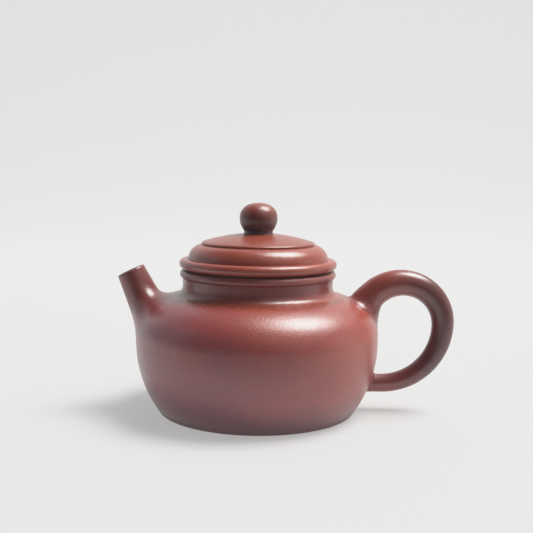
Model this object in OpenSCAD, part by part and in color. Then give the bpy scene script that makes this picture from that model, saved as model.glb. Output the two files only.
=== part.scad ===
// Round clay teapot with a straight spout, an ear handle and a lift-off lid.
// Millimetres, +Z up. The origin is on the pot's axis, in the plane the foot stands on.
// The spout points to -X and the handle to +X. Every piece is one clay part, and
// neighbours meet face to face at the joint where they are luted together.

/* [Belly] */
// Largest outer radius of the belly
belly_r = 48.25; // [47.5:0.05:49.5]
// Height of the belly's widest level
belly_z = 28.3; // [26:0.1:29.5]
// Radius of the curve from the widest level down to the foot
belly_curve_r = 46.9; // [45.5:0.1:47.4]
// Thickness of the belly wall
wall = 3; // [2.4:0.1:3.4]

/* [Shoulder] */
// Height at which the side starts to turn in
shoulder_z = 30.5; // [29.5:0.5:32]
// Height that the shoulder's curve would reach at its level point
shoulder_top_z = 47.6; // [47:0.1:48.4]
// Radius of that level point
shoulder_level_r = 23; // [21:0.5:25]
// Fullness of the shoulder's curve, where 2 is an ellipse
shoulder_fullness = 2.2; // [2:0.05:2.5]
// Outer radius of the disc that closes the shoulder
shoulder_disc_r = 36.5; // [35.8:0.1:37.5]
// Width of the lap between the shoulder disc and the wall
lap_w = 2; // [1:0.1:2.4]

/* [Foot] */
// Height of the foot ring
foot_h = 2.2; // [1.6:0.1:2.8]
// Inner radius of the foot ring
foot_inner_r = 33.6; // [31:0.1:35]
// Radius of the rounding where the foot meets the table
foot_round = 1.2; // [0.8:0.1:1.5]
// Thickness of the base disc
base_t = 3; // [2.4:0.1:3.6]
// Side of the blank square recess under the base
recess_w = 15; // [10:0.5:20]
// Depth of that recess
recess_depth = 0.4; // [0.2:0.1:0.8]

/* [Neck and mouth] */
// Outer radius of the neck
neck_r = 29.9; // [29.6:0.05:30.3]
// Radius of the curve where the neck meets the shoulder
neck_fillet = 3.6; // [2.5:0.1:4.5]
// Inner radius of the mouth
mouth_r = 26.2; // [26:0.05:26.6]
// Outer radius of the bead round the mouth
rim_r = 31; // [30.8:0.05:31.3]
// Radius of the bead's round section
rim_round = 1.6; // [1.4:0.05:1.7]
// Height of the top of the mouth
mouth_z = 56.4; // [56.2:0.05:56.4]

/* [Lid] */
// Height of the underside of the lid where it rests over the mouth
lid_z = 56.5; // [56.5:0.05:56.7]
// Outer radius of the lid's bead
bead_r = 31.3; // [31.1:0.05:31.6]
// Radius of the bead's round section
bead_round = 1.9; // [1.8:0.05:2]
// Height of the middle of the bead
bead_z = 58.9; // [58.8:0.05:59]
// Outer radius of the raised band at its foot
band_r = 27.85; // [27.6:0.05:28.1]
// Radius of the band's round section
band_round = 6.15; // [6:0.05:6.3]
// Outer radius of the disc on top
top_disc_r = 22.55; // [22.2:0.05:22.7]
// Height of the top disc's crown
crown_z = 71; // [70.6:0.1:71.4]
// Clearance between the lid's flange and the mouth, on the radius
lid_play = 0.3; // [0.2:0.05:0.5]
// Thickness of the flange
flange_t = 2.9; // [2.4:0.1:3.2]
// Height of the flange's lower edge
flange_z = 47.4; // [47.2:0.1:49]

/* [Knob] */
// Largest radius of the knob
knob_r = 7.55; // [7:0.05:8]
// Height of the knob's widest level
knob_z = 76.85; // [76.5:0.05:77.2]
// Height of the top of the knob
knob_top_z = 83; // [82.5:0.1:83.5]
// Radius of the collar under the knob
collar_r = 5.75; // [5.4:0.05:6]
// Radius of the vent hole
vent_r = 1.1; // [0.8:0.05:1.4]

/* [Spout] */
// Distance of the tip's centre from the pot's axis
spout_tip_x = 50.8; // [50:0.1:51.4]
// Height of the tip's centre
spout_tip_z = 55.6; // [54.8:0.1:56.2]
// Lean of the spout from the vertical, in degrees
spout_lean = 25; // [23:0.5:27]
// Outer radius at the tip
spout_tip_r = 5.6; // [5.3:0.05:5.9]
// Half angle of the spout's taper, in degrees
spout_taper = 5.25; // [4.5:0.25:5.75]
// Thickness of the spout's wall at the tip
spout_wall = 1.5; // [1.3:0.1:1.7]
// Half angle of the bore's taper, in degrees
bore_taper = 2.5; // [1.5:0.25:3]
// Outer radius of the strainer's dome
strainer_r = 8; // [7.6:0.1:8.2]
// Thickness of the strainer's dome
strainer_t = 1.6; // [1.2:0.1:1.8]
// Radius of each strainer hole
strainer_hole_r = 0.85; // [0.6:0.05:1]

/* [Handle] */
// Distance of the outermost point of the handle's centreline from the pot's axis
handle_reach = 74.4; // [73.8:0.1:75]
// Height of that outermost point
handle_z = 35.3; // [34.8:0.1:35.8]
// Radius of the centreline's upper curve
handle_upper_r = 16.6; // [16.2:0.1:17]
// Radius of the centreline's lower curve
handle_lower_r = 24.25; // [23.8:0.05:24.6]
// Radius of the coil at the upper root
handle_root_r = 5.75; // [5.5:0.05:6]
// Radius of the coil at the lower end
handle_tail_r = 3.65; // [3.4:0.05:3.9]
// Extra radius of the upper root where it spreads onto the shoulder
handle_flare = 3.4; // [2.4:0.1:3.6]

/* [Hidden] */

$fn = 96;
clay = [0.47, 0.24, 0.20];
clay_dark = [0.36, 0.19, 0.17];
clay_light = [0.56, 0.31, 0.25];

// Points along an arc about centre c, from angle a0 to a1, in n steps
function arc(c, r, a0, a1, n) =
    [for (i = [0:n]) let (a = a0 + (a1 - a0) * i / n) c + r * [cos(a), sin(a)]];

// Foot and lower belly
belly_c = [belly_r - belly_curve_r, belly_z];
foot_c = [belly_c.x + sqrt((belly_curve_r - foot_round) ^ 2 - (belly_z - foot_round) ^ 2), foot_round];
foot_tangent = -asin((belly_z - foot_round) / (belly_curve_r - foot_round));
foot_top_a = -asin((belly_z - foot_h) / belly_curve_r);
base_top_z = foot_h + base_t;
inner_curve_r = belly_curve_r - wall;
base_a = -asin((belly_z - base_top_z) / inner_curve_r);
base_r = belly_c.x + inner_curve_r * cos(base_a);

foot_outline = concat(arc(foot_c, foot_round, -90, foot_tangent, 5),
                      arc(belly_c, belly_curve_r, foot_tangent, foot_top_a, 2));
lower_outline = arc(belly_c, belly_curve_r, foot_top_a, 0, 14);
lower_inside = arc(belly_c, inner_curve_r, base_a, 0, 12);

// Shoulder: a superellipse about (shoulder_level_r, shoulder_z), with inset t
function shoulder_at(a, t) =
    [shoulder_level_r + (belly_r - t - shoulder_level_r) * cos(a) ^ (2 / shoulder_fullness),
     shoulder_z + (shoulder_top_z - t - shoulder_z) * sin(a) ^ (2 / shoulder_fullness)];
function shoulder_angle(r, t) =
    acos(((r - shoulder_level_r) / (belly_r - t - shoulder_level_r)) ^ (shoulder_fullness / 2));
function shoulder_arc(r0, r1, t, n) =
    let (a0 = shoulder_angle(r0, t), a1 = shoulder_angle(r1, t))
    [for (i = [0:n]) shoulder_at(a0 + (a1 - a0) * i / n, t)];

lap_r = shoulder_disc_r - lap_w;
lap_z = shoulder_at(shoulder_angle(shoulder_disc_r, 0), 0).y - wall / 2;

// Neck: its fillet starts tangent to the shoulder
neck_slope = 13;
neck_seat_r = neck_r + neck_fillet * (1 - sin(neck_slope));
neck_seat_z = shoulder_at(shoulder_angle(neck_seat_r, 0), 0).y;
neck_fillet_c = [neck_r + neck_fillet, neck_seat_z + neck_fillet * cos(neck_slope)];
rim_c = [rim_r - rim_round, mouth_z - rim_round];
neck_top_z = rim_c.y - rim_round;
edge_round = 0.5;

// Lid: heights of its layers
lid_gap = 0.5;
seat_r = bead_r - bead_round - 0.9;
bead_c = [bead_r - bead_round, bead_z];
band_c = [band_r - band_round, bead_z + bead_round - 0.4];
ring_top_z = bead_z + bead_round;
flange_r = mouth_r - lid_play;
flange_inner_r = flange_r - flange_t;
band_top_z = band_c.y + band_round * sin(82);
disc_edge_h = 0.9;
disc_round = disc_edge_h / 2;
disc_lens_r = 20.5;
disc_lens_t = 2.2;
dome_t = 3;

// Height of a shallow crown of radius r0 and height h, at radius r
function crown(r, r0, h) = let (R = (r0 ^ 2 + h ^ 2) / (2 * h)) sqrt(R ^ 2 - r ^ 2) - R + h;
top_edge_z = band_top_z + disc_edge_h;
function disc_top(r) = top_edge_z + crown(r, top_disc_r, crown_z - top_edge_z);
collar_seat_r = collar_r + 0.45;
collar_seat_z = disc_top(collar_seat_r);
lens_h = crown_z - disc_lens_t - band_top_z;
function lens(r) = band_top_z + crown(r, disc_lens_r, lens_h);
cavity_r = flange_inner_r - 3;
knob_seat_a = -acos(collar_r / knob_r);
knob_seat_z = knob_z + knob_r * sin(knob_seat_a);
knob_fullness = 2.3;

// Spout: the axis runs down from the tip into the pot
spout_len = 30;
strainer_depth = 19.2;
hole_rings = [[0, 1], [27, 6], [52, 12]];
strainer_tilt = 48;

// Handle: a straight root inside the belly, two arcs and a straight tail
root_a = 150;
root_dir = [-cos(60), -sin(60)];
root_len = 7;
handle_top_c = [handle_reach - handle_upper_r, handle_z];
handle_low_c = [handle_reach - handle_lower_r, handle_z];
upper_len = handle_upper_r * root_a * PI / 180;
lower_len = handle_lower_r * PI / 2;
tail_len = 9;
tail_drop = 0.3;
arcs_len = upper_len + lower_len;
handle_len = root_len + arcs_len + tail_len;
flare_len = 13;
taper_power = 1.25;
handle_rings = 44;
handle_sides = 28;

// Point and direction of the centreline, at distance s along it
function handle_frame(s) =
    let (u = s - root_len)
    u < 0 ?
        [handle_top_c + handle_upper_r * [cos(root_a), sin(root_a)] - u * root_dir, -root_dir]
    : u < upper_len ?
        let (a = root_a * (1 - u / upper_len))
        [handle_top_c + handle_upper_r * [cos(a), sin(a)], [sin(a), -cos(a)]]
    : u < arcs_len ?
        let (a = -90 * (u - upper_len) / lower_len)
        [handle_low_c + handle_lower_r * [cos(a), sin(a)], [sin(a), -cos(a)]]
    :
        let (d = u - arcs_len)
        [handle_low_c + [-d, -handle_lower_r - tail_drop * (d / tail_len) ^ 2], [-1, 0]];
function handle_radius(s) =
    let (t = min(1, max(0, s - root_len) / arcs_len))
    handle_tail_r + (handle_root_r - handle_tail_r) * (1 - t) ^ taper_power
    + handle_flare * max(0, 1 - s / flare_len) ^ 2;
function handle_ring(s) =
    let (f = handle_frame(s), c = f[0], d = f[1], n = [-d.y, d.x], r = handle_radius(s))
    [for (i = [0:handle_sides - 1])
        let (a = 360 * i / handle_sides, q = c + r * cos(a) * n) [q.x, r * sin(a), q.y]];

// The pot's outside and its hollow, as full solids of revolution
module pot_outside() {
    rotate_extrude()
        polygon(concat([[0, 0]], foot_outline, lower_outline,
                       shoulder_arc(belly_r, neck_seat_r, 0, 24), [[0, neck_seat_z]]));
}

module pot_hollow() {
    rotate_extrude()
        polygon(concat([[0, base_top_z]], lower_inside,
                       shoulder_arc(belly_r - wall, lap_r, wall, 18),
                       [[0, shoulder_at(shoulder_angle(lap_r, wall), wall).y]]));
}

// Moves its children to a point on the spout's axis, with +Z pointing out of the tip
module on_spout(depth) {
    translate([-spout_tip_x, 0, spout_tip_z])
        rotate([0, -spout_lean, 0])
            translate([0, 0, -depth])
                children();
}

module spout_bore() {
    on_spout(spout_len)
        cylinder(h = spout_len + 1,
                 r1 = spout_tip_r - spout_wall + spout_len * tan(bore_taper),
                 r2 = spout_tip_r - spout_wall - tan(bore_taper));
}

module foot_ring() {
    color(clay_dark)
        rotate_extrude()
            polygon(concat([[foot_inner_r, foot_h], [foot_inner_r, edge_round],
                            [foot_inner_r + edge_round, 0]],
                           foot_outline));
}

module base_disc() {
    color(clay_dark)
        difference() {
            translate([0, 0, foot_h])
                cylinder(h = base_t, r = base_r);
            translate([-recess_w / 2, -recess_w / 2, foot_h - 1])
                cube([recess_w, recess_w, recess_depth + 1]);
        }
}

module belly_wall() {
    inside = concat(lower_inside, shoulder_arc(belly_r - wall, lap_r, wall, 18));
    color(clay)
        difference() {
            rotate_extrude()
                polygon(concat([[base_r, foot_h]], lower_outline,
                               shoulder_arc(belly_r, shoulder_disc_r, 0, 20),
                               [[shoulder_disc_r, lap_z], [lap_r, lap_z]],
                               [for (i = [len(inside) - 1:-1:0]) inside[i]]));
            spout_bore();
        }
}

module shoulder_disc() {
    color(clay_light)
        rotate_extrude()
            polygon(concat(shoulder_arc(shoulder_disc_r, neck_seat_r, 0, 6),
                           [[mouth_r, neck_seat_z]],
                           shoulder_arc(mouth_r, lap_r, wall, 8),
                           [[lap_r, lap_z], [shoulder_disc_r, lap_z]]));
}

module neck_ring() {
    color(clay)
        rotate_extrude()
            polygon(concat([[mouth_r, neck_seat_z]],
                           arc(neck_fillet_c, neck_fillet, 270 - neck_slope, 180, 8),
                           [[neck_r, neck_top_z], [mouth_r, neck_top_z]]));
}

module mouth_rim() {
    color(clay_light)
        rotate_extrude()
            polygon(concat([[mouth_r, neck_top_z]],
                           arc(rim_c, rim_round, -90, 90, 16),
                           [[mouth_r + edge_round, mouth_z], [mouth_r, mouth_z - edge_round]]));
}

module spout() {
    lip = 0.4;
    color(clay)
        difference() {
            on_spout(spout_len)
                rotate_extrude()
                    polygon([[0, 0],
                             [spout_tip_r + spout_len * tan(spout_taper), 0],
                             [spout_tip_r + lip * tan(spout_taper), spout_len - lip],
                             [spout_tip_r - lip, spout_len],
                             [0, spout_len]]);
            pot_outside();
            spout_bore();
        }
}

module strainer() {
    color(clay_light)
        difference() {
            intersection() {
                on_spout(strainer_depth)
                    sphere(r = strainer_r);
                pot_hollow();
            }
            on_spout(strainer_depth) {
                sphere(r = strainer_r - strainer_t);
                for (ring = hole_rings)
                    for (i = [0:ring[1] - 1])
                        rotate([0, 180 - strainer_tilt + spout_lean, 0])
                            rotate([0, 0, 360 * i / ring[1]])
                                rotate([0, ring[0], 0])
                                    cylinder(h = strainer_r + 2, r = strainer_hole_r, $fn = 24);
            }
        }
}

module handle() {
    n = handle_sides;
    rings = [for (k = [0:handle_rings]) each handle_ring(handle_len * k / handle_rings)];
    sides = [for (k = [0:handle_rings - 1], i = [0:n - 1])
        [k * n + i, k * n + (i + 1) % n, (k + 1) * n + (i + 1) % n, (k + 1) * n + i]];
    first_cap = [for (i = [n - 1:-1:0]) i];
    last_cap = [for (i = [0:n - 1]) handle_rings * n + i];
    color(clay)
        difference() {
            polyhedron(points = rings, faces = concat([first_cap], sides, [last_cap]));
            pot_outside();
        }
}

module lid_ring() {
    color(clay)
        rotate_extrude()
            polygon(concat([[flange_inner_r, lid_z], [seat_r, lid_z], [seat_r + lid_gap, lid_z + lid_gap]],
                           arc(bead_c, bead_round, -90, 90, 18),
                           [[flange_inner_r, ring_top_z]]));
}

module lid_flange() {
    color(clay_dark)
        rotate_extrude()
            polygon([[flange_inner_r, lid_z], [flange_inner_r, flange_z + edge_round],
                     [flange_inner_r + edge_round, flange_z], [flange_r - edge_round, flange_z],
                     [flange_r, flange_z + edge_round], [flange_r, lid_z]]);
}

module lid_dome() {
    foot_a = asin((ring_top_z - band_c.y) / band_round);
    steps = 10;
    color(clay)
        difference() {
            rotate_extrude()
                polygon(concat([[flange_inner_r, ring_top_z]],
                               arc(band_c, band_round, foot_a, 82, 12),
                               [for (i = [0:steps]) let (r = disc_lens_r * (1 - i / steps)) [r, lens(r)]],
                               [for (i = [0:steps]) let (r = cavity_r * i / steps) [r, lens(r) - dome_t]]));
            vent();
        }
}

module lid_top_disc() {
    steps = 10;
    edge_c = [top_disc_r - disc_round, band_top_z + disc_round];
    color(clay_light)
        difference() {
            rotate_extrude()
                polygon(concat([for (i = [0:steps]) let (r = disc_lens_r * i / steps) [r, lens(r)]],
                               arc(edge_c, disc_round, -90, 70, 8),
                               [for (i = [1:steps])
                                   let (r = top_disc_r - disc_round
                                            - (top_disc_r - disc_round - collar_seat_r) * i / steps)
                                   [r, disc_top(r)]],
                               [[0, collar_seat_z]]));
            vent();
        }
}

module knob_collar() {
    flare = collar_seat_r - collar_r;
    color(clay_dark)
        difference() {
            rotate_extrude()
                polygon(concat([[0, collar_seat_z]],
                               arc([collar_seat_r, collar_seat_z + flare], flare, 270, 180, 4),
                               [[collar_r, knob_seat_z], [0, knob_seat_z]]));
            vent();
        }
}

module knob() {
    steps = 16;
    color(clay)
        difference() {
            rotate_extrude()
                polygon(concat([[0, knob_seat_z]],
                               arc([0, knob_z], knob_r, knob_seat_a, 0, 8),
                               [for (i = [1:steps])
                                   let (a = 90 * i / steps)
                                   [knob_r * cos(a) ^ (2 / knob_fullness),
                                    knob_z + (knob_top_z - knob_z) * sin(a) ^ (2 / knob_fullness)]]));
            vent();
        }
}

module vent() {
    translate([0, 0, band_top_z - dome_t])
        cylinder(h = knob_top_z - band_top_z + dome_t + 1, r = vent_r);
}

foot_ring();
base_disc();
belly_wall();
shoulder_disc();
neck_ring();
mouth_rim();
spout();
strainer();
handle();
lid_ring();
lid_flange();
lid_dome();
lid_top_disc();
knob_collar();
knob();
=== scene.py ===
"""The looks of a round unglazed clay teapot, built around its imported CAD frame.

Shapes are worked out in millimetres in the row frame: +Z up, spout to -X, handle to +X.
Each clay piece is a fine mesh with softened edges, and one procedural clay runs through them all.
"""

import math
from typing import NamedTuple

import bmesh
import bpy
import numpy as np
from mathutils import Matrix, Vector


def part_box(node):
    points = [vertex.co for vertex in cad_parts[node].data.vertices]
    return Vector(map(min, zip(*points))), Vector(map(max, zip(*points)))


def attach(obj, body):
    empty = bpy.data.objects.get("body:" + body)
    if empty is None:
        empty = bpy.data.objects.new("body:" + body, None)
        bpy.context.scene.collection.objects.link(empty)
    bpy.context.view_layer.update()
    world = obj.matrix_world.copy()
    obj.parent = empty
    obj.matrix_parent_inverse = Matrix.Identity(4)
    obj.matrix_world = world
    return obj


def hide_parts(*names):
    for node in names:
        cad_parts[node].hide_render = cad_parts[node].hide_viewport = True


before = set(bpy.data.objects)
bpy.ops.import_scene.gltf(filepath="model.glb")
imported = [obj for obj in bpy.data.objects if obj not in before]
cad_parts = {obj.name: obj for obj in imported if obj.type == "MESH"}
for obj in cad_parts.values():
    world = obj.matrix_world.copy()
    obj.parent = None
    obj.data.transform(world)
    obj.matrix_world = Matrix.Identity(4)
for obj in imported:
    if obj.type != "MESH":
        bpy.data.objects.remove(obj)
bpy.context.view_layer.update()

MM = 0.001

# The pot's sizes are in millimetres, and angles are in degrees except where math.radians is
# written. _R is a radius, _Z a height, _H a height of a part, _T a thickness and _C a centre.
# _FULLNESS is a superellipse's exponent: 2 is a plain ellipse, and more is squarer.

# Belly and shoulder
BELLY_R = 48.24
BELLY_Z = 28.3
BELLY_CURVE_R = 46.9
WALL = 3.0
SHOULDER_Z = 30.5
SHOULDER_TOP_Z = 47.6
SHOULDER_LEVEL_R = 23.0
SHOULDER_FULLNESS = 2.2
SHOULDER_DISC_R = 36.5
LAP_W = 2.0

# Foot
FOOT_H = 2.2
FOOT_INNER_R = 33.6
FOOT_ROUND = 1.2
BASE_T = 3.0

# Neck and mouth
NECK_R = 29.9
NECK_FILLET = 3.6
NECK_SLOPE = 13
MOUTH_R = 26.2
MOUTH_Z = 56.4
RIM_R = 31.0
RIM_ROUND = 1.6

# Lid
LID_Z = 56.5
BEAD_R = 31.3
BEAD_ROUND = 1.9
BEAD_Z = 58.9
BAND_R = 27.85
BAND_ROUND = 6.15
BAND_END = 82
TOP_DISC_R = 22.55
DISC_EDGE_H = 0.9
DISC_LENS_R = 20.5
DISC_LENS_T = 2.2
CROWN_Z = 71.0
DOME_T = 3.0
FLANGE_R = 25.9
FLANGE_T = 2.9
FLANGE_Z = 47.4
VENT_R = 1.1

# Knob
KNOB_R = 7.55
KNOB_Z = 76.85
KNOB_TOP_Z = 83.0
KNOB_FULLNESS = 2.3
COLLAR_R = 5.75
COLLAR_FLARE = 0.45

# Spout
SPOUT_TIP = np.array([-50.8, 0.0, 55.6])
SPOUT_LEAN = math.radians(25)
SPOUT_TIP_R = 5.6
SPOUT_TAPER = math.tan(math.radians(5.25))
SPOUT_WALL = 1.5
BORE_TAPER = math.tan(math.radians(2.5))
SPOUT_LIP = 0.45
SPOUT_INNER_LIP = 1.1

# Handle
HANDLE_REACH = 74.36
HANDLE_Z = 35.3
HANDLE_UPPER_R = 16.6
HANDLE_LOWER_R = 24.25
HANDLE_ROOT_R = 5.75
HANDLE_TAIL_R = 3.65
HANDLE_FLARE = 3.4
HANDLE_FLARE_LEN = 13.0
HANDLE_TAPER_POWER = 1.25
ROOT_ANGLE = 150
ROOT_LEN = 7.0
TAIL_LEN = 9.0
TAIL_DROP = 0.3

# How far a tube's end spreads onto the belly: at angle 0, at 180 degrees and at the sides between
SPOUT_REACH = (4.6, 8.0, 11.5)
HANDLE_UPPER_REACH = (1.6, 7.0, 3.4)
HANDLE_LOWER_REACH = (1.0, 2.4, 1.6)
# The spread's edge ends this far under the belly's skin
SPREAD_SUNK = 0.5
# How long the spread's curve follows both surfaces, as a share of the way between its ends
SPREAD_PULL = 0.42

# Lengths down the spout's axis from its tip: one that is inside the belly, and the ends of the
# cylinder that drills the belly
SPOUT_DEEP = 30.0
BORE_CUT = (3.0, 29.0)
# The spout's bore goes on this far behind the belly's outside, and its inside is darkened this much as
# painted shade
BORE_PAST_WALL = 0.5
BORE_SHADE_LEVEL = 0.8

# Mesh fineness
ROUND_SEGMENTS = 288
KNOB_SEGMENTS = 144
TUBE_SEGMENTS = 112
SPREAD_ROWS = 12
SPOUT_ROWS = 25
LIP_ROWS = 6
INNER_LIP_ROWS = 9
BORE_ROWS = 23
HANDLE_ROWS = 130
SHARP_ANGLE = math.radians(38)
# Points closer than this are joined after the bore is cut
CUT_WELD = 0.03


# ---------------------------------------------------------------- profiles, as (r, z) points

def arc(centre, radius, start, end, step=0.45):
    """Points along an arc between two angles in degrees, both ends included."""
    count = max(3, math.ceil(abs(math.radians(end - start)) * radius / step))
    angles = np.radians(np.linspace(start, end, count + 1))
    return [(centre[0] + radius * math.cos(a), centre[1] + radius * math.sin(a)) for a in angles]


def path(*parts, step=1.2):
    """Joins points and lists of points into one list, with long straight runs divided."""
    points = []
    for part in parts:
        for point in part if isinstance(part, list) else [part]:
            if points:
                gap = math.dist(points[-1], point)
                if gap < 1e-4:
                    continue
                count = math.ceil(gap / step)
                last = np.array(points[-1])
                ends = np.linspace(last, point, count + 1)[1:]
                points += [tuple(p) for p in ends]
            else:
                points.append(tuple(point))
    return points


def softened(before, corner, after, radius):
    """A small rounding that replaces a sharp corner between two neighbouring points."""
    before, corner, after = (np.array(p, float) for p in (before, corner, after))
    first = corner + (before - corner) / np.linalg.norm(before - corner) * radius
    last = corner + (after - corner) / np.linalg.norm(after - corner) * radius
    steps = np.linspace(0, 1, 6)
    return [tuple((1 - t) ** 2 * first + 2 * t * (1 - t) * corner + t * t * last) for t in steps]


def shoulder_point(angle, inset):
    """A point of the shoulder's superellipse, moved in by the wall's inset."""
    power = 2 / SHOULDER_FULLNESS
    width = BELLY_R - inset - SHOULDER_LEVEL_R
    height = SHOULDER_TOP_Z - inset - SHOULDER_Z
    return (SHOULDER_LEVEL_R + width * max(0.0, math.cos(angle)) ** power,
            SHOULDER_Z + height * math.sin(angle) ** power)


def shoulder_angle(radius, inset):
    share = (radius - SHOULDER_LEVEL_R) / (BELLY_R - inset - SHOULDER_LEVEL_R)
    return math.acos(share ** (SHOULDER_FULLNESS / 2))


def shoulder_curve(r_from, r_to, inset=0.0, count=60):
    start, end = shoulder_angle(r_from, inset), shoulder_angle(r_to, inset)
    return [shoulder_point(a, inset) for a in np.linspace(start, end, count + 1)]


def crown(radius, rim_radius, height):
    """Height of a shallow crown above its rim, at a radius."""
    sphere = (rim_radius ** 2 + height ** 2) / (2 * height)
    return math.sqrt(sphere ** 2 - radius ** 2) - sphere + height


BELLY_C = (BELLY_R - BELLY_CURVE_R, BELLY_Z)
FOOT_REACH = BELLY_CURVE_R - FOOT_ROUND
FOOT_TANGENT = -math.degrees(math.asin((BELLY_Z - FOOT_ROUND) / FOOT_REACH))
FOOT_C = (BELLY_C[0] + FOOT_REACH * math.cos(math.radians(FOOT_TANGENT)), FOOT_ROUND)
FOOT_TOP = -math.degrees(math.asin((BELLY_Z - FOOT_H) / BELLY_CURVE_R))
BASE_TOP_Z = FOOT_H + BASE_T
INNER_CURVE_R = BELLY_CURVE_R - WALL
BASE_ANGLE = -math.degrees(math.asin((BELLY_Z - BASE_TOP_Z) / INNER_CURVE_R))
BASE_R = BELLY_C[0] + INNER_CURVE_R * math.cos(math.radians(BASE_ANGLE))
LAP_R = SHOULDER_DISC_R - LAP_W
LAP_Z = shoulder_point(shoulder_angle(SHOULDER_DISC_R, 0), 0)[1] - WALL / 2
NECK_SEAT_R = NECK_R + NECK_FILLET * (1 - math.sin(math.radians(NECK_SLOPE)))
NECK_SEAT_Z = shoulder_point(shoulder_angle(NECK_SEAT_R, 0), 0)[1]
NECK_FILLET_C = (NECK_R + NECK_FILLET, NECK_SEAT_Z + NECK_FILLET * math.cos(math.radians(NECK_SLOPE)))
RIM_C = (RIM_R - RIM_ROUND, MOUTH_Z - RIM_ROUND)
NECK_TOP_Z = RIM_C[1] - RIM_ROUND
RING_TOP_Z = BEAD_Z + BEAD_ROUND
BEAD_C = (BEAD_R - BEAD_ROUND, BEAD_Z)
BAND_C = (BAND_R - BAND_ROUND, RING_TOP_Z - 0.4)
BAND_TOP_Z = BAND_C[1] + BAND_ROUND * math.sin(math.radians(BAND_END))
TOP_EDGE_Z = BAND_TOP_Z + DISC_EDGE_H
FLANGE_INNER_R = FLANGE_R - FLANGE_T
CAVITY_R = FLANGE_INNER_R - 3
COLLAR_SEAT_R = COLLAR_R + COLLAR_FLARE
KNOB_SEAT = -math.degrees(math.acos(COLLAR_R / KNOB_R))
KNOB_SEAT_Z = KNOB_Z + KNOB_R * math.sin(math.radians(KNOB_SEAT))
LENS_H = CROWN_Z - DISC_LENS_T - BAND_TOP_Z


def disc_top(radius):
    return TOP_EDGE_Z + crown(radius, TOP_DISC_R, CROWN_Z - TOP_EDGE_Z)


def lens(radius):
    return BAND_TOP_Z + crown(radius, DISC_LENS_R, LENS_H)


COLLAR_SEAT_Z = disc_top(COLLAR_SEAT_R)


# Each piece's loop is its closed profile.

def lower_belly():
    return arc(BELLY_C, BELLY_CURVE_R, FOOT_TOP, 0, 0.8) + [(BELLY_R, SHOULDER_Z)]


def foot_loop():
    inner = (FOOT_INNER_R, 0)
    return path((FOOT_INNER_R, FOOT_H), softened((FOOT_INNER_R, FOOT_H), inner, (FOOT_C[0], 0), 0.6),
                arc(FOOT_C, FOOT_ROUND, -90, FOOT_TANGENT, 0.15),
                arc(BELLY_C, BELLY_CURVE_R, FOOT_TANGENT, FOOT_TOP), (FOOT_INNER_R, FOOT_H))


def belly_loop():
    inside = path(arc(BELLY_C, INNER_CURVE_R, BASE_ANGLE, 0, 1.2),
                  shoulder_curve(BELLY_R - WALL, LAP_R, WALL, 36))
    return path((BASE_R, FOOT_H), lower_belly(), shoulder_curve(BELLY_R, SHOULDER_DISC_R),
                (SHOULDER_DISC_R, LAP_Z), (LAP_R, LAP_Z), inside[::-1], (BASE_R, FOOT_H))


def shoulder_loop():
    inside = shoulder_curve(MOUTH_R, LAP_R, WALL, 16)
    return path((SHOULDER_DISC_R, LAP_Z), shoulder_curve(SHOULDER_DISC_R, NECK_SEAT_R, 0, 20),
                (MOUTH_R, NECK_SEAT_Z), inside, (LAP_R, LAP_Z), (SHOULDER_DISC_R, LAP_Z))


def neck_loop():
    return path((MOUTH_R, NECK_SEAT_Z), arc(NECK_FILLET_C, NECK_FILLET, 270 - NECK_SLOPE, 180, 0.25),
                (NECK_R, NECK_TOP_Z), (MOUTH_R, NECK_TOP_Z), (MOUTH_R, NECK_SEAT_Z))


def rim_loop():
    lip = (MOUTH_R, MOUTH_Z)
    return path((MOUTH_R, NECK_TOP_Z), arc(RIM_C, RIM_ROUND, -90, 90, 0.15),
                softened(RIM_C, lip, (MOUTH_R, NECK_TOP_Z), 0.7), (MOUTH_R, NECK_TOP_Z))


def lid_ring_loop():
    seat = (BEAD_C[0] - 0.9, LID_Z)
    step = (seat[0] + 0.5, LID_Z + 0.5)
    return path((FLANGE_INNER_R, LID_Z), seat, step, arc(BEAD_C, BEAD_ROUND, -90, 90, 0.15),
                (FLANGE_INNER_R, RING_TOP_Z), (FLANGE_INNER_R, LID_Z))


def flange_loop():
    low_in, low_out = (FLANGE_INNER_R, FLANGE_Z), (FLANGE_R, FLANGE_Z)
    high_in, high_out = (FLANGE_INNER_R, LID_Z), (FLANGE_R, LID_Z)
    return path(high_in, softened(high_in, low_in, low_out, 0.7),
                softened(low_in, low_out, high_out, 0.7), high_out, high_in)


def dome_loop():
    foot = math.degrees(math.asin((RING_TOP_Z - BAND_C[1]) / BAND_ROUND))
    top = [(r, lens(r)) for r in np.linspace(DISC_LENS_R, VENT_R, 30)]
    under = [(r, lens(r) - DOME_T) for r in np.linspace(VENT_R, CAVITY_R, 24)]
    return path((FLANGE_INNER_R, RING_TOP_Z), arc(BAND_C, BAND_ROUND, foot, BAND_END, 0.2), top, under,
                (FLANGE_INNER_R, RING_TOP_Z))


def top_disc_loop():
    edge = (TOP_DISC_R - DISC_EDGE_H / 2, BAND_TOP_Z + DISC_EDGE_H / 2)
    below = [(r, lens(r)) for r in np.linspace(VENT_R, DISC_LENS_R, 20)]
    above = [(r, disc_top(r)) for r in np.linspace(edge[0], COLLAR_SEAT_R, 40)]
    return path(below, arc(edge, DISC_EDGE_H / 2, -90, 70, 0.08), above, (VENT_R, COLLAR_SEAT_Z),
                (VENT_R, lens(VENT_R)))


def collar_loop():
    flare = arc((COLLAR_SEAT_R, COLLAR_SEAT_Z + COLLAR_FLARE), COLLAR_FLARE, 270, 180, 0.08)
    return path((VENT_R, COLLAR_SEAT_Z), flare, (COLLAR_R, KNOB_SEAT_Z), (VENT_R, KNOB_SEAT_Z),
                (VENT_R, COLLAR_SEAT_Z), step=0.4)


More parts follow.
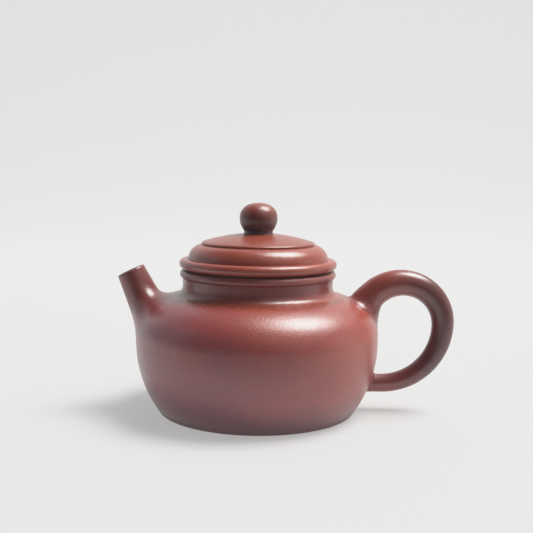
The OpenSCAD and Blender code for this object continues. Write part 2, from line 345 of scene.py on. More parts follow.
def knob_loop():
    power = 2 / KNOB_FULLNESS
    height = KNOB_TOP_Z - KNOB_Z
    upper = [(KNOB_R * math.cos(a) ** power, KNOB_Z + height * math.sin(a) ** power)
             for a in np.radians(np.linspace(0, 89, 60))]
    upper = [p for p in upper if p[0] > VENT_R + 0.35]
    lip = (VENT_R, upper[-1][1])
    return path((VENT_R, KNOB_SEAT_Z), arc((0, KNOB_Z), KNOB_R, KNOB_SEAT, 0, 0.2), upper,
                softened(upper[-1], lip, (VENT_R, KNOB_SEAT_Z), 0.3), (VENT_R, KNOB_SEAT_Z), step=0.8)


def pot_outside():
    """The profile of the belly, shoulder and neck that the spout and the handle land on."""
    return path(arc(FOOT_C, FOOT_ROUND, -90, FOOT_TANGENT, 0.2),
                arc(BELLY_C, BELLY_CURVE_R, FOOT_TANGENT, 0, 0.5), (BELLY_R, SHOULDER_Z),
                shoulder_curve(BELLY_R, NECK_SEAT_R, 0, 120),
                arc(NECK_FILLET_C, NECK_FILLET, 270 - NECK_SLOPE, 180, 0.3), (NECK_R, NECK_TOP_Z))


# ---------------------------------------------------------------- meshes

def make_object(name, vertices, faces):
    """A smooth mesh object in metres from points in millimetres, normals outward."""
    mesh = bpy.data.meshes.new(name)
    mesh.from_pydata((np.array(vertices) * MM).tolist(), [], faces)
    shape = bmesh.new()
    shape.from_mesh(mesh)
    bmesh.ops.recalc_face_normals(shape, faces=shape.faces)
    shape.to_mesh(mesh)
    shape.free()
    finish_mesh(mesh)
    piece = bpy.data.objects.new(name, mesh)
    bpy.context.scene.collection.objects.link(piece)
    return piece


def finish_mesh(mesh):
    mesh.shade_smooth()
    mesh.set_sharp_from_angle(angle=SHARP_ANGLE)


def ring_faces(rows, around, closed):
    """Quads between neighbouring rings of points; closed joins the last ring to the first."""
    faces = []
    for i in range(rows if closed else rows - 1):
        low, high = i * around, (i + 1) % rows * around
        faces += [(low + j, low + (j + 1) % around, high + (j + 1) % around, high + j)
                  for j in range(around)]
    return faces


def lathe(name, loop, segments=ROUND_SEGMENTS):
    """A solid of revolution from a closed profile whose last point is its first."""
    profile = np.array(loop[:-1] if math.dist(loop[0], loop[-1]) < 1e-4 else loop)
    turns = np.linspace(0, 2 * math.pi, segments, endpoint=False)
    radii, heights = profile[:, :1], profile[:, 1:]
    rings = np.stack([radii * np.cos(turns), radii * np.sin(turns),
                      np.repeat(heights, segments, 1)], -1)
    faces = ring_faces(len(profile), segments, True)
    return make_object(name, rings.reshape(-1, 3), faces)


class Outside:
    """The pot's outside as a surface of revolution that answers where its nearest point is."""

    def __init__(self, profile):
        points = np.array(profile)
        self.start = points[:-1]
        self.run = points[1:] - points[:-1]
        self.run_sq = (self.run ** 2).sum(1)
        across = np.stack([self.run[:, 1], -self.run[:, 0]], 1)
        across /= np.linalg.norm(across, axis=1)[:, None]
        inner = across[:-1] + across[1:]
        self.normals = np.vstack([across[:1], inner, across[-1:]])
        self.normals /= np.linalg.norm(self.normals, axis=1)[:, None]

    def nearest(self, points):
        """(distance, positive outside; nearest points; normals there) for an array of points."""
        flat = np.stack([np.hypot(points[:, 0], points[:, 1]), points[:, 2]], 1)
        offset = flat[:, None] - self.start
        share = np.clip((offset * self.run).sum(2) / self.run_sq, 0, 1)
        gap = np.linalg.norm(offset - share[..., None] * self.run, axis=2)
        best = gap.argmin(1)
        share = share[np.arange(len(flat)), best][:, None]
        foot = self.start[best] + share * self.run[best]
        normal = (1 - share) * self.normals[best] + share * self.normals[best + 1]
        normal /= np.linalg.norm(normal, axis=1)[:, None]
        distance = ((flat - foot) * normal).sum(1)
        radial = points[:, :2] / flat[:, :1]
        return (distance, np.column_stack([radial * foot[:, :1], foot[:, 1]]),
                np.column_stack([radial * normal[:, :1], normal[:, 1]]))

    def crossings(self, curve, angles, outer, inner, count=160):
        """Where each line of a tube goes through the surface, marching from outer to inner."""
        places = np.linspace(outer, inner, count)
        grid = np.array([self.nearest(curve(np.full(len(angles), s), angles))[0] for s in places])
        first = (grid < 0).argmax(0)
        column = np.arange(len(angles))
        above, below = grid[first - 1, column], grid[first, column]
        return places[first - 1] + (places[first] - places[first - 1]) * above / (above - below)


def root_rows(outside, curve, angles, outer, inner, reach, probe=0.05):
    """Rings that spread the end of a tube onto the pot: sunk ring, landing, then up to the tube.

    Returns the rings and, for each line of the tube, the place along it where the spread begins.
    probe is a short step along the tube that tells its direction there.
    """
    way = math.copysign(1, inner - outer)
    cut = outside.crossings(curve, angles, outer, inner)
    begin = cut - way * reach
    corner, start = curve(cut, angles), curve(begin, angles)
    along = curve(begin + way * probe, angles) - start
    along /= np.linalg.norm(along, axis=1)[:, None]
    middle = curve(cut, angles + math.pi)
    _, corner_foot, normal = outside.nearest(corner)
    away = corner - middle
    away -= (away * normal).sum(1)[:, None] * normal
    away /= np.linalg.norm(away, axis=1)[:, None]
    _, landing, landing_normal = outside.nearest(corner_foot + away * reach[:, None])
    back = corner_foot - landing
    back -= (back * landing_normal).sum(1)[:, None] * landing_normal
    back /= np.linalg.norm(back, axis=1)[:, None]
    span = np.linalg.norm(landing - start, axis=1)[:, None] * SPREAD_PULL
    rings = [landing - landing_normal * SPREAD_SUNK]
    for t in np.linspace(0, 1, SPREAD_ROWS + 1):
        ring = ((1 - t) ** 3 * landing + 3 * t * (1 - t) ** 2 * (landing + back * span)
                + 3 * t * t * (1 - t) * (start + along * span) + t ** 3 * start)
        rings.append(ring)
    return rings, begin


def tube_angles():
    return np.linspace(0, 2 * math.pi, TUBE_SEGMENTS, endpoint=False)


def blend_reach(angles, toward, away, side):
    """Reach of a root's spread: toward at angle 0, away at 180 degrees and side between them."""
    facing = np.cos(angles)
    return side + (np.where(facing > 0, toward, away) - side) * facing ** 2


SPOUT_DOWN = np.array([math.sin(SPOUT_LEAN), 0, -math.cos(SPOUT_LEAN)])
SPOUT_RIGHT = np.array([math.cos(SPOUT_LEAN), 0, math.sin(SPOUT_LEAN)])
BACK = np.array([0.0, 1.0, 0.0])


def around(angles, across):
    """Unit vectors round an axis: angle 0 points across, and 90 degrees to the back."""
    return np.cos(angles)[:, None] * across + np.sin(angles)[:, None] * BACK


def spout_line(depth, angles, radius):
    """Points at a depth below the tip and a radius from the spout's axis."""
    return SPOUT_TIP + depth[:, None] * SPOUT_DOWN + radius[:, None] * around(angles, SPOUT_RIGHT)


def spout_outer(depth, angles):
    return spout_line(depth, angles, SPOUT_TIP_R + depth * SPOUT_TAPER)


def spout_bore(depth, angles):
    return spout_line(depth, angles, SPOUT_TIP_R - SPOUT_WALL + depth * BORE_TAPER)


def spout_mesh(outside):
    """The spout: spread root, tapered wall, rounded lip and bore, as one closed skin."""
    angles = tube_angles()
    reach = blend_reach(angles, *SPOUT_REACH)
    rings, begin = root_rows(outside, spout_outer, angles, 0.0, SPOUT_DEEP, reach)
    for share in np.linspace(1, 0, SPOUT_ROWS + 1)[1:]:
        rings.append(spout_outer(SPOUT_LIP + (begin - SPOUT_LIP) * share, angles))
    full = np.ones(len(angles))
    for turn in np.radians(np.linspace(0, 90, LIP_ROWS + 1)[1:]):
        lip = SPOUT_TIP_R - SPOUT_LIP * (1 - math.cos(turn))
        rings.append(spout_line(full * SPOUT_LIP * (1 - math.sin(turn)), angles, full * lip))
    outer_count = len(rings)
    bore_r = SPOUT_TIP_R - SPOUT_WALL
    for turn in np.radians(np.linspace(90, 0, INNER_LIP_ROWS)):
        lip = bore_r + SPOUT_INNER_LIP * (1 - math.cos(turn))
        rings.append(spout_line(full * SPOUT_INNER_LIP * (1 - math.sin(turn)), angles, full * lip))
    bottom = outside.crossings(spout_bore, angles, 0.0, SPOUT_DEEP) + BORE_PAST_WALL
    for share in np.linspace(0, 1, BORE_ROWS + 1)[1:]:
        rings.append(spout_bore(SPOUT_INNER_LIP + (bottom - SPOUT_INNER_LIP) * share, angles))
    faces = ring_faces(len(rings), TUBE_SEGMENTS, True)
    piece = make_object("spout_blended", np.concatenate(rings), faces)
    # The bore's rings are marked for painted shade
    bore_shade = piece.data.attributes.new("bore_shade", "FLOAT", "POINT")
    levels = np.repeat([0.0] * outer_count + [BORE_SHADE_LEVEL] * (len(rings) - outer_count), TUBE_SEGMENTS)
    bore_shade.data.foreach_set("value", levels)
    return piece


UPPER_LEN = HANDLE_UPPER_R * math.radians(ROOT_ANGLE)
LOWER_LEN = HANDLE_LOWER_R * math.pi / 2
ARCS_LEN = UPPER_LEN + LOWER_LEN
HANDLE_LEN = ROOT_LEN + ARCS_LEN + TAIL_LEN
UPPER_C = np.array([HANDLE_REACH - HANDLE_UPPER_R, HANDLE_Z])
LOWER_C = np.array([HANDLE_REACH - HANDLE_LOWER_R, HANDLE_Z])


def turned(angle):
    return np.array([math.cos(angle), math.sin(angle)])


def handle_centre(place):
    """(point, direction) of the coil's centreline in the XZ plane, at a length along it."""
    run = place - ROOT_LEN
    if run < 0:
        root = math.radians(ROOT_ANGLE)
        inward = -turned(root - math.pi / 2)
        return UPPER_C + HANDLE_UPPER_R * turned(root) - run * inward, -inward
    if run < ARCS_LEN:
        upper = run < UPPER_LEN
        angle = (math.radians(ROOT_ANGLE) * (1 - run / UPPER_LEN) if upper
                 else -math.pi / 2 * (run - UPPER_LEN) / LOWER_LEN)
        centre, radius = (UPPER_C, HANDLE_UPPER_R) if upper else (LOWER_C, HANDLE_LOWER_R)
        return centre + radius * turned(angle), np.array([math.sin(angle), -math.cos(angle)])
    past = run - ARCS_LEN
    return (LOWER_C + [-past, -HANDLE_LOWER_R - TAIL_DROP * (past / TAIL_LEN) ** 2],
            np.array([-1.0, 0.0]))


def handle_radius(place):
    share = min(1, max(0, place - ROOT_LEN) / ARCS_LEN)
    flare = HANDLE_FLARE * max(0, 1 - place / HANDLE_FLARE_LEN) ** 2
    return HANDLE_TAIL_R + (HANDLE_ROOT_R - HANDLE_TAIL_R) * (1 - share) ** HANDLE_TAPER_POWER + flare


def handle_outer(places, angles):
    """Points on the coil's skin: angle 0 is its outer side, and 180 degrees the finger side."""
    points = []
    for place, angle in zip(places, angles):
        centre, direction = handle_centre(place)
        radius = handle_radius(place)
        across = radius * math.cos(angle)
        points.append((centre[0] - direction[1] * across, radius * math.sin(angle),
                       centre[1] + direction[0] * across))
    return np.array(points)


def handle_mesh(outside):
    """The handle: a tapered coil, spread onto the belly at both ends and closed inside the wall."""
    angles = tube_angles()
    middle = HANDLE_LEN / 2
    upper_reach = blend_reach(angles, *HANDLE_UPPER_REACH)
    lower_reach = blend_reach(angles, *HANDLE_LOWER_REACH)
    upper, begin = root_rows(outside, handle_outer, angles, middle, 0.0, upper_reach)
    lower, end = root_rows(outside, handle_outer, angles, middle, HANDLE_LEN, lower_reach)
    rings = list(upper)
    for share in np.linspace(0, 1, HANDLE_ROWS + 1)[1:-1]:
        rings.append(handle_outer(begin + (end - begin) * share, angles))
    rings += lower[::-1]
    count = len(rings)
    vertices = np.concatenate(rings + [rings[0].mean(0)[None], rings[-1].mean(0)[None]])
    faces = ring_faces(count, TUBE_SEGMENTS, False)
    first, last = count * TUBE_SEGMENTS, (count - 1) * TUBE_SEGMENTS
    for j in range(TUBE_SEGMENTS):
        after = (j + 1) % TUBE_SEGMENTS
        faces.append((first, after, j))
        faces.append((first + 1, last + j, last + after))
    return make_object("handle_blended", vertices, faces)


def drilled(piece):
    """The belly wall with the spout's bore cut through it."""
    angles = tube_angles()
    rings = [spout_bore(np.full(len(angles), depth), angles) for depth in BORE_CUT]
    count = len(angles)
    faces = ring_faces(2, count, False) + [tuple(range(count))[::-1], tuple(range(count, 2 * count))]
    cutter = make_object("bore_cutter", np.concatenate(rings), faces)
    cut = piece.modifiers.new("bore", "BOOLEAN")
    cut.operation = "DIFFERENCE"
    cut.object = cutter
    cut.solver = "EXACT"
    evaluated = piece.evaluated_get(bpy.context.evaluated_depsgraph_get())
    mesh = bpy.data.meshes.new_from_object(evaluated)
    piece.modifiers.clear()
    piece.data = mesh
    shape = bmesh.new()
    shape.from_mesh(mesh)
    bmesh.ops.remove_doubles(shape, verts=shape.verts, dist=CUT_WELD * MM)
    bmesh.ops.dissolve_degenerate(shape, dist=CUT_WELD * MM, edges=shape.edges)
    shape.to_mesh(mesh)
    shape.free()
    finish_mesh(mesh)
    bpy.data.objects.remove(cutter)
    return piece


# ---------------------------------------------------------------- node trees

def linear(red, green, blue):
    """A linear colour with alpha from display values of 0 to 255."""
    def one(value):
        value /= 255
        return value / 12.92 if value <= 0.04045 else ((value + 0.055) / 1.055) ** 2.4
    return one(red), one(green), one(blue), 1.0


class Tree:
    """The nodes of a material or a world.

    An input that is given as a socket is linked, and anything else is set on the node.
    """

    def __init__(self, owner):
        owner.use_nodes = True
        self.owner = owner
        self.nodes = owner.node_tree.nodes
        self.links = owner.node_tree.links
        self.nodes.clear()

    def add(self, kind, inputs=(), **settings):
        node = self.nodes.new(kind)
        for key, value in settings.items():
            setattr(node, key, value)
        for key, value in dict(inputs).items():
            if isinstance(value, bpy.types.NodeSocket):
                self.links.new(value, node.inputs[key])
            else:
                node.inputs[key].default_value = value
        return node

    def noise(self, vector, scale, detail=2.0, roughness=0.5):
        return self.add("ShaderNodeTexNoise", {"Vector": vector, "Scale": scale, "Detail": detail,
                                               "Roughness": roughness}).outputs["Fac"]

    def spread(self, value, low, high, to_low=0.0, to_high=1.0):
        return self.add("ShaderNodeMapRange", {"Value": value, "From Min": low, "From Max": high,
                                               "To Min": to_low, "To Max": to_high}).outputs[0]

    def vary(self, noise, to_low, to_high):
        """Spreads a noise, most of whose values lie from 0.3 to 0.7, between two others."""
        return self.spread(noise, 0.3, 0.7, to_low, to_high)

    def math(self, operation, first, second):
        return self.add("ShaderNodeMath", {0: first, 1: second}, operation=operation).outputs[0]

    def mix(self, share, first, second, blend="MIX"):
        return self.add("ShaderNodeMix", {0: share, 6: first, 7: second}, data_type="RGBA",
                        blend_type=blend).outputs[2]

    def tinted(self, colour, tone):
        """A colour times a grey level."""
        grey = self.add("ShaderNodeCombineColor", {0: tone, 1: tone, 2: tone}).outputs[0]
        return self.mix(1.0, colour, grey, "MULTIPLY")

    def bump(self, height, strength, distance, below=None):
        inputs = {"Strength": strength, "Distance": distance, "Height": height}
        if below:
            inputs["Normal"] = below
        return self.add("ShaderNodeBump", inputs).outputs[0]


# ---------------------------------------------------------------- fired clay

# Red and purple clays, mixed partly by painted light: redder on the lit side
CLAY_WARM = linear(172, 79, 60)
CLAY_COOL = linear(132, 63, 79)
CLAY_SAND = linear(190, 128, 104)
CLAY_IRON = linear(58, 34, 36)
# The last is the painted shade inside the spout's bore
CLAY_BORE_SHADE = linear(46, 27, 26)

# Painted light: which way the lit side lies, and how much redder the clay gets for each metre that way
PAINTED_LIGHT_SIDE = (7.0, -2.0, 9.0)

# Specks: the lowest pick that gives a cell one, how strong it is, and its colour
SPECKS = [(0.9, 0.08, CLAY_SAND), (0.998, 0.3, CLAY_IRON)]

# Fineness of the patterns, as noise scales for places in metres
CLOUD_SCALE = 38
PATCH_SCALE = 330
GLOSS_SCALE = 700
SPECK_SCALE = 900.0
PEEL_SCALE = 1300
FINE_SCALE = 2100
LINE_SCALE = 1500
WAVE_SCALE = 110
WANDER_SCALE = 30

# Depth of the relief in metres: the paddle's soft waves, and the grain
WAVE_DEPTH = 0.0004
GRAIN_DEPTH = 0.00021

# How far the turning lines wander up and down, in metres
WANDER = 0.002

CLAY_IOR = 1.74
BURNISH = 0.16
BURNISH_ROUGHNESS = 0.2


class Fade(NamedTuple):
    """Takes a clay's warmth and shade to other values, from start to end in metres.

    along says how these are measured: by the "radius" or by the "height". On the belly, neck, handle and
    knob a fade paints shade.
    """

    along: str
    start: float
    end: float
    warmth: float
    shade: float


def distances(tree, place):
    """The radius from the pot's axis and the height, as sockets."""
    level = tree.add("ShaderNodeVectorMath", {0: place, 1: (1.0, 1.0, 0.0)}, operation="MULTIPLY")
    radius = tree.add("ShaderNodeVectorMath", {0: level.outputs[0]}, operation="LENGTH")
    height = tree.add("ShaderNodeSeparateXYZ", {0: place})
    return {"radius": radius.outputs["Value"], "height": height.outputs[2]}


def flashed_colour_with_painted_light(tree, place, warmth):
    """Purple to red clay in soft clouds, with painted light: redder towards the lit upper right and
    front.
    """
    toward = tree.add("ShaderNodeVectorMath", {0: place, 1: PAINTED_LIGHT_SIDE}, operation="DOT_PRODUCT")
    clouds = tree.spread(tree.noise(place, CLOUD_SCALE, 4, 0.55), 0.36, 0.64, -0.42, -0.1)
    share = tree.math("ADD", toward.outputs["Value"], tree.math("ADD", clouds, warmth))
    return tree.mix(share, CLAY_COOL, CLAY_WARM)


def with_specks(tree, place, colour):
    """Sand and iron specks, at most one of each in a cell."""
    cells = tree.add("ShaderNodeTexVoronoi", {"Vector": place, "Scale": SPECK_SCALE})
    spot = tree.spread(cells.outputs["Distance"], 0.16, 0.26, 1.0, 0.0)
    pick = tree.add("ShaderNodeSeparateColor", {0: cells.outputs["Color"]})
    for channel, (lowest, strength, speck) in enumerate(SPECKS):
        chosen = tree.math("GREATER_THAN", pick.outputs[channel], lowest)
        share = tree.math("MULTIPLY", tree.math("MULTIPLY", spot, chosen), strength)
        colour = tree.mix(share, colour, speck)
    return colour


def turning_lines(tree, place, across):
    """Fine rings from the turning of the pot, which wander a little on their way round."""
    wander = tree.math("MULTIPLY", tree.noise(place, WANDER_SCALE, 1), WANDER)
    turning = tree.add("ShaderNodeCombineXYZ", {0: across["radius"], 1: wander, 2: across["height"]})
    return tree.noise(turning.outputs[0], LINE_SCALE, 2, 0.7)


def clay(name, warmth=0.5, shade=1.0, roughness=0.33, grain=1.0, lines=0.0, fade=None):
    """Unglazed fired clay.

    warmth is how red a piece is, partly painted light that gives lit tops more; shade is how light the
    clay is, partly painted shade on some pieces; grain how deep its relief is, and lines how clear its
    turning lines are.
    """
    tree = Tree(bpy.data.materials.new(name))
    place = tree.add("ShaderNodeTexCoord").outputs["Object"]
    across = distances(tree, place)
    if fade:
        run = across[fade.along]
        shade = tree.spread(run, fade.start, fade.end, shade, fade.shade)
        warmth = tree.spread(run, fade.start, fade.end, warmth, fade.warmth)

    fine = tree.noise(place, FINE_SCALE, 2, 0.6)
    patches = tree.vary(tree.noise(place, PATCH_SCALE, 3, 0.6), 0.95, 1.05)
    tone = tree.math("MULTIPLY", tree.vary(fine, 0.95, 1.05), patches)
    tone = tree.math("MULTIPLY", tone, shade)
    peel = tree.noise(place, PEEL_SCALE, 3, 0.6)
    height = tree.math("ADD", tree.math("MULTIPLY", peel, 0.8), tree.math("MULTIPLY", fine, 0.35))
    if lines:
        groove = turning_lines(tree, place, across)
        tone = tree.math("MULTIPLY", tone, tree.vary(groove, 1 - 0.22 * lines, 1 + 0.2 * lines))
        height = tree.math("ADD", height, tree.math("MULTIPLY", groove, lines))

    colour = with_specks(tree, place, flashed_colour_with_painted_light(tree, place, warmth))
    # Painted shade: the spout's bore is darkened towards a dark clay
    bore_shade = tree.add("ShaderNodeAttribute", attribute_name="bore_shade").outputs["Fac"]
    colour = tree.mix(bore_shade, tree.tinted(colour, tone), CLAY_BORE_SHADE)
    waves = tree.bump(tree.noise(place, WAVE_SCALE, 2, 0.5), 0.3, WAVE_DEPTH)
    gloss = tree.noise(place, GLOSS_SCALE, 3, 0.6)
    shader = tree.add("ShaderNodeBsdfPrincipled", {
        "Base Color": colour, "Roughness": tree.vary(gloss, roughness - 0.03, roughness + 0.04),
        "IOR": CLAY_IOR, "Coat Weight": BURNISH, "Coat Roughness": BURNISH_ROUGHNESS,
        "Normal": tree.bump(height, grain, GRAIN_DEPTH, waves)})
    tree.add("ShaderNodeOutputMaterial", {0: shader.outputs[0]})
    return tree.owner


# ---------------------------------------------------------------- the pieces

def place_piece(piece, body, node, slot, **finish):
    """Makes a piece ride on its body, in place of its CAD node, in a clay of its own."""
    piece.data.materials.clear()
    piece.data.materials.append(clay(slot, **finish))
    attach(piece, body)
    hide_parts(node)


def build_pot():
    outside = Outside(pot_outside())
    neck_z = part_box("neck_ring")[0].z
    # Painted shade: the foot is given dark clay where it meets the floor
    place_piece(lathe("foot_turned", foot_loop()), "pot", "foot_ring", "clay_foot",
                warmth=0.2, shade=0.5, roughness=0.5, grain=1.2)
    # Painted shade: the belly darkens and cools down to its foot, near the floor
    place_piece(drilled(lathe("belly_turned", belly_loop())), "pot", "belly_wall", "clay_belly",
                warmth=0.2, shade=0.52, roughness=0.305, grain=0.75, lines=0.1,
                fade=Fade("height", 0.003, 0.013, warmth=0.4, shade=1.0))
    # Painted light: the shoulder's clay is redder and darker than the belly's, set for the strong warm
    # light on the top; its edge fades to the belly's tone
    place_piece(lathe("shoulder_turned", shoulder_loop()), "pot", "shoulder_disc", "clay_shoulder",
                warmth=0.85, shade=0.64, roughness=0.26, grain=0.8, lines=0.1,
                fade=Fade("radius", 0.0342, 0.0365, warmth=0.5, shade=0.9))
    # Painted shade: the neck is darker than the belly and turns cooler towards its top, under the lid's
    # overhang
    place_piece(lathe("neck_turned", neck_loop()), "pot", "neck_ring", "clay_neck",
                warmth=0.75, shade=0.74, roughness=0.3, grain=0.45, lines=0.12,
                fade=Fade("height", neck_z, neck_z + 0.003, warmth=0.3, shade=0.8))
    # Painted shade: the rim under the lid's bead is given a darker, cooler clay
    place_piece(lathe("rim_turned", rim_loop()), "pot", "mouth_rim", "clay_rim",
                warmth=0.3, shade=0.78, lines=0.2)
    # The spout's clay runs from the belly's tone at its root to the shoulder's painted warm tone higher
    # up
    place_piece(spout_mesh(outside), "pot", "spout", "clay_spout",
                warmth=0.36, shade=0.96, roughness=0.305, grain=0.6,
                fade=Fade("height", 0.036, 0.046, warmth=0.78, shade=0.58))
    # Painted shade: the handle darkens and turns purple away from the pot, on its shaded outer side
    place_piece(handle_mesh(outside), "pot", "handle", "clay_handle",
                warmth=0.2, shade=0.82, roughness=0.3, grain=0.35,
                fade=Fade("radius", 0.053, 0.069, warmth=-0.1, shade=0.38))


def build_lid():
    knob_z = sum(corner.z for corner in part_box("knob")) / 2
    # Painted light: the lid's ring is given redder clay than the belly, for the warm light on top
    place_piece(lathe("lid_ring_turned", lid_ring_loop()), "lid", "lid_ring", "clay_lid_ring",
                warmth=0.55, shade=0.9, roughness=0.3, grain=0.45, lines=0.25)
    place_piece(lathe("flange_turned", flange_loop()), "lid", "lid_flange", "clay_flange",
                warmth=0.1, shade=0.8, roughness=0.52, grain=1.2, lines=0.3)
    # Painted light: the dome and top disc are given redder clay, for the warm light on top
    place_piece(lathe("dome_turned", dome_loop()), "lid", "lid_dome", "clay_dome",
                warmth=0.65, shade=0.84, roughness=0.3, grain=0.5, lines=0.25)
    place_piece(lathe("top_disc_turned", top_disc_loop()), "lid", "lid_top_disc", "clay_top_disc",
                warmth=0.7, shade=0.8, roughness=0.3, grain=0.5, lines=0.4)
    # Painted shade: the collar under the knob is given near-dark clay
    place_piece(lathe("collar_turned", collar_loop(), KNOB_SEGMENTS), "lid", "knob_collar", "clay_collar",
                warmth=0.1, shade=0.3, roughness=0.45, grain=0.6)
    # Painted shade: the knob is darkest low down and redder and lighter on top, where the light falls
    place_piece(lathe("knob_turned", knob_loop(), KNOB_SEGMENTS), "lid", "knob", "clay_knob",
                warmth=0.5, shade=0.1, roughness=0.35, grain=0.5,
                fade=Fade("height", knob_z - 0.004, knob_z + 0.0035, warmth=0.75, shade=0.68))


def finish_cad_nodes():
    """Gives the two CAD nodes that stay in view the same clay."""
    for node, shade in (("base_disc", 0.75), ("strainer", 0.9)):
        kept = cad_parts[node]
        kept.data.materials.clear()
        kept.data.materials.append(
            clay("clay_" + node, warmth=0.2, shade=shade, roughness=0.5, grain=1.2))


# ---------------------------------------------------------------- stage, light and camera

# Floor and backdrop, in metres; depth is Y, and the pot stands at 0
FLOOR_HALF = 2.5
SWEEP_START = 0.75
SWEEP_R = 0.6
SWEEP_TOP = 2.2

# The paper glows softly, more towards the backdrop: strengths, and the depths between them
FLOOR_GLOW = 0.385
BACKDROP_GLOW = 0.66
GLOW_START = 0.1
GLOW_FULL = 1.35

# Depths between which the floor in front of the pot turns from dark to pale in reflections,
# as if a dark room stood before it
FRONT_DARK = -0.3
FRONT_LIT = -0.07

PAPER_SCALE = 900
PAPER = linear(166, 166, 167)
PAPER_DARK = linear(60, 60, 62)
PAPER_GLOW = linear(252, 252, 250)
BACKDROP_SHOWN = linear(232, 232, 230)


def paper():
    """Pale matt paper that glows softly towards the back."""
    tree = Tree(bpy.data.materials.new("pale_paper"))
    place = tree.add("ShaderNodeTexCoord").outputs["Object"]
    colour = tree.tinted(PAPER, tree.vary(tree.noise(place, PAPER_SCALE, 3), 0.97, 1.0))
    depth = tree.add("ShaderNodeSeparateXYZ", {0: place}).outputs[1]
    glow = tree.spread(depth, GLOW_START, GLOW_FULL, FLOOR_GLOW, BACKDROP_GLOW)
    seen = tree.add("ShaderNodeLightPath").outputs["Is Camera Ray"]
    kept = tree.math("MAXIMUM", seen, tree.spread(depth, FRONT_DARK, FRONT_LIT))
    shader = tree.add("ShaderNodeBsdfPrincipled", {
        "Base Color": tree.mix(kept, PAPER_DARK, colour), "Roughness": 0.9,
        "Specular IOR Level": 0.15, "Emission Color": PAPER_GLOW,
        "Emission Strength": tree.math("MULTIPLY", glow, kept)})
    tree.add("ShaderNodeOutputMaterial", {0: shader.outputs[0]})
    return tree.owner


def build_stage():
    """A floor that sweeps up into a backdrop far behind the pot."""
    floor_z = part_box("foot_ring")[0].z
    turns = np.radians(np.linspace(0, 90, 25))
    run = [(-FLOOR_HALF, 0.0), (SWEEP_START, 0.0)]
    run += [(SWEEP_START + SWEEP_R * math.sin(t), SWEEP_R * (1 - math.cos(t))) for t in turns[1:]]
    run.append((SWEEP_START + SWEEP_R, SWEEP_TOP))
    vertices = [(x, y, z + floor_z) for y, z in run for x in (-FLOOR_HALF, FLOOR_HALF)]
    faces = [(2 * i, 2 * i + 1, 2 * i + 3, 2 * i + 2) for i in range(len(run) - 1)]
    mesh = bpy.data.meshes.new("floor")
    mesh.from_pydata(vertices, [], faces)
    mesh.shade_smooth()
    mesh.materials.append(paper())
    floor = bpy.data.objects.new("floor", mesh)
    bpy.context.scene.collection.objects.link(floor)


SUN_TINT = (1.0, 0.98, 0.94)
ROOM_TINT = (0.84, 0.9, 1.0)


class Softbox(NamedTuple):
    """A round soft light aimed at the pot.

    Angles are in degrees, with the azimuth from the front towards the right. The size is in
    metres, and spread is how wide the light leaves the softbox.
    """

    name: str
    azimuth: float
    elevation: float
    size: float
    watts: float
    spread: float
    colour: tuple


SOFTBOXES = [
    Softbox("window", 103, 65, size=2.0, watts=14.8, spread=50, colour=SUN_TINT),
    Softbox("front_right", 38, 40, size=3.0, watts=3.0, spread=120, colour=SUN_TINT),
    Softbox("left", -95, 22, size=3.0, watts=4.6, spread=120, colour=ROOM_TINT),
    Softbox("right_low", 90, 12, size=1.6, watts=1.4, spread=120, colour=SUN_TINT),
]
SOFTBOX_DISTANCE = 3.0
AIM = Vector((0.0, 0.0, 0.035))


def hang(box):
    """Puts one softbox in its place, unseen by the camera."""
    data = bpy.data.lights.new(box.name, "AREA")
    data.shape = "DISK"
    data.size = box.size
    data.energy = box.watts
    data.spread = math.radians(box.spread)
    data.color = box.colour
    light = bpy.data.objects.new(box.name, data)
    turn, rise = math.radians(box.azimuth), math.radians(box.elevation)
    toward = Vector((math.sin(turn) * math.cos(rise), -math.cos(turn) * math.cos(rise), math.sin(rise)))
    light.location = AIM + toward * SOFTBOX_DISTANCE
    light.rotation_mode = "QUATERNION"
    light.rotation_quaternion = toward.to_track_quat("Z", "Y")
    light.visible_camera = False
    bpy.context.scene.collection.objects.link(light)


# The room is brightest towards the back right, and fades from there
ROOM_BRIGHT_SIDE = (0.85, 0.5, 0.0)
ROOM_DIM = 0.02
ROOM_BRIGHT = 0.5


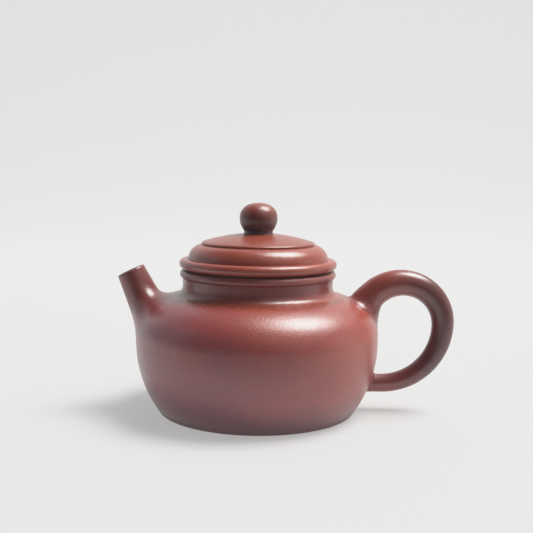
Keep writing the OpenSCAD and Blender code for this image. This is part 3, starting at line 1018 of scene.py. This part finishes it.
def build_world():
    """A dim room around the pot, which the camera sees as more of the pale backdrop."""
    world = bpy.data.worlds.new("studio")
    bpy.context.scene.world = world
    tree = Tree(world)
    way = tree.add("ShaderNodeTexCoord").outputs["Generated"]
    side = tree.add("ShaderNodeVectorMath", {0: way, 1: ROOM_BRIGHT_SIDE}, operation="DOT_PRODUCT")
    level = tree.spread(side.outputs["Value"], -0.4, 1.0, ROOM_DIM, ROOM_BRIGHT)
    lit = tree.add("ShaderNodeBackground", {0: (*ROOM_TINT, 1), 1: level})
    shown = tree.add("ShaderNodeBackground", {0: BACKDROP_SHOWN})
    seen = tree.add("ShaderNodeLightPath").outputs["Is Camera Ray"]
    mixed = tree.add("ShaderNodeMixShader", {0: seen, 1: lit.outputs[0], 2: shown.outputs[0]})
    tree.add("ShaderNodeOutputWorld", {0: mixed.outputs[0]})


# Camera: place in millimetres, angles in degrees, and lens in millimetres for a 36 mm sensor
CAMERA_AT = (3.376, -350.0, 96.26)
CAMERA_PITCH = 6.29
CAMERA_ROLL = 0.769
CAMERA_LENS = 59.65
CAMERA_SENSOR = 36


def build_camera():
    data = bpy.data.cameras.new("camera")
    data.lens = CAMERA_LENS
    data.sensor_width = CAMERA_SENSOR
    data.clip_start = 0.01
    data.clip_end = 20
    camera = bpy.data.objects.new("camera", data)
    turn = (Matrix.Rotation(math.radians(90 - CAMERA_PITCH), 4, "X")
            @ Matrix.Rotation(math.radians(CAMERA_ROLL), 4, "Z"))
    camera.matrix_world = Matrix.Translation(Vector(CAMERA_AT) * MM) @ turn
    bpy.context.scene.collection.objects.link(camera)
    bpy.context.scene.camera = camera


# The camera's response: light in the scene, and what is shown for it, joined by straight lines
RESPONSE = [(0.0, 0.013), (0.6, 0.6), (0.8, 0.76), (0.95, 0.84), (1.2, 0.905), (1.8, 0.965), (3.0, 1.0)]


def set_response():
    """Shows light almost as it is, with a soft shoulder that turns the brightest highlights pale."""
    view = bpy.context.scene.view_settings
    view.view_transform = "Standard"
    view.use_curve_mapping = True
    mapping = view.curve_mapping
    full = RESPONSE[-1][0]
    mapping.white_level = (full, full, full)
    mapping.extend = "HORIZONTAL"
    all_channels = 3
    curve = mapping.curves[all_channels]
    curve.points[0].location = RESPONSE[0]
    for light, shown in RESPONSE[1:-1]:
        curve.points.new(light / full, shown)
    for point in curve.points:
        point.handle_type = "VECTOR"
    mapping.update()


build_pot()
build_lid()
finish_cad_nodes()
build_stage()
for box in SOFTBOXES:
    hang(box)
build_world()
build_camera()
set_response()
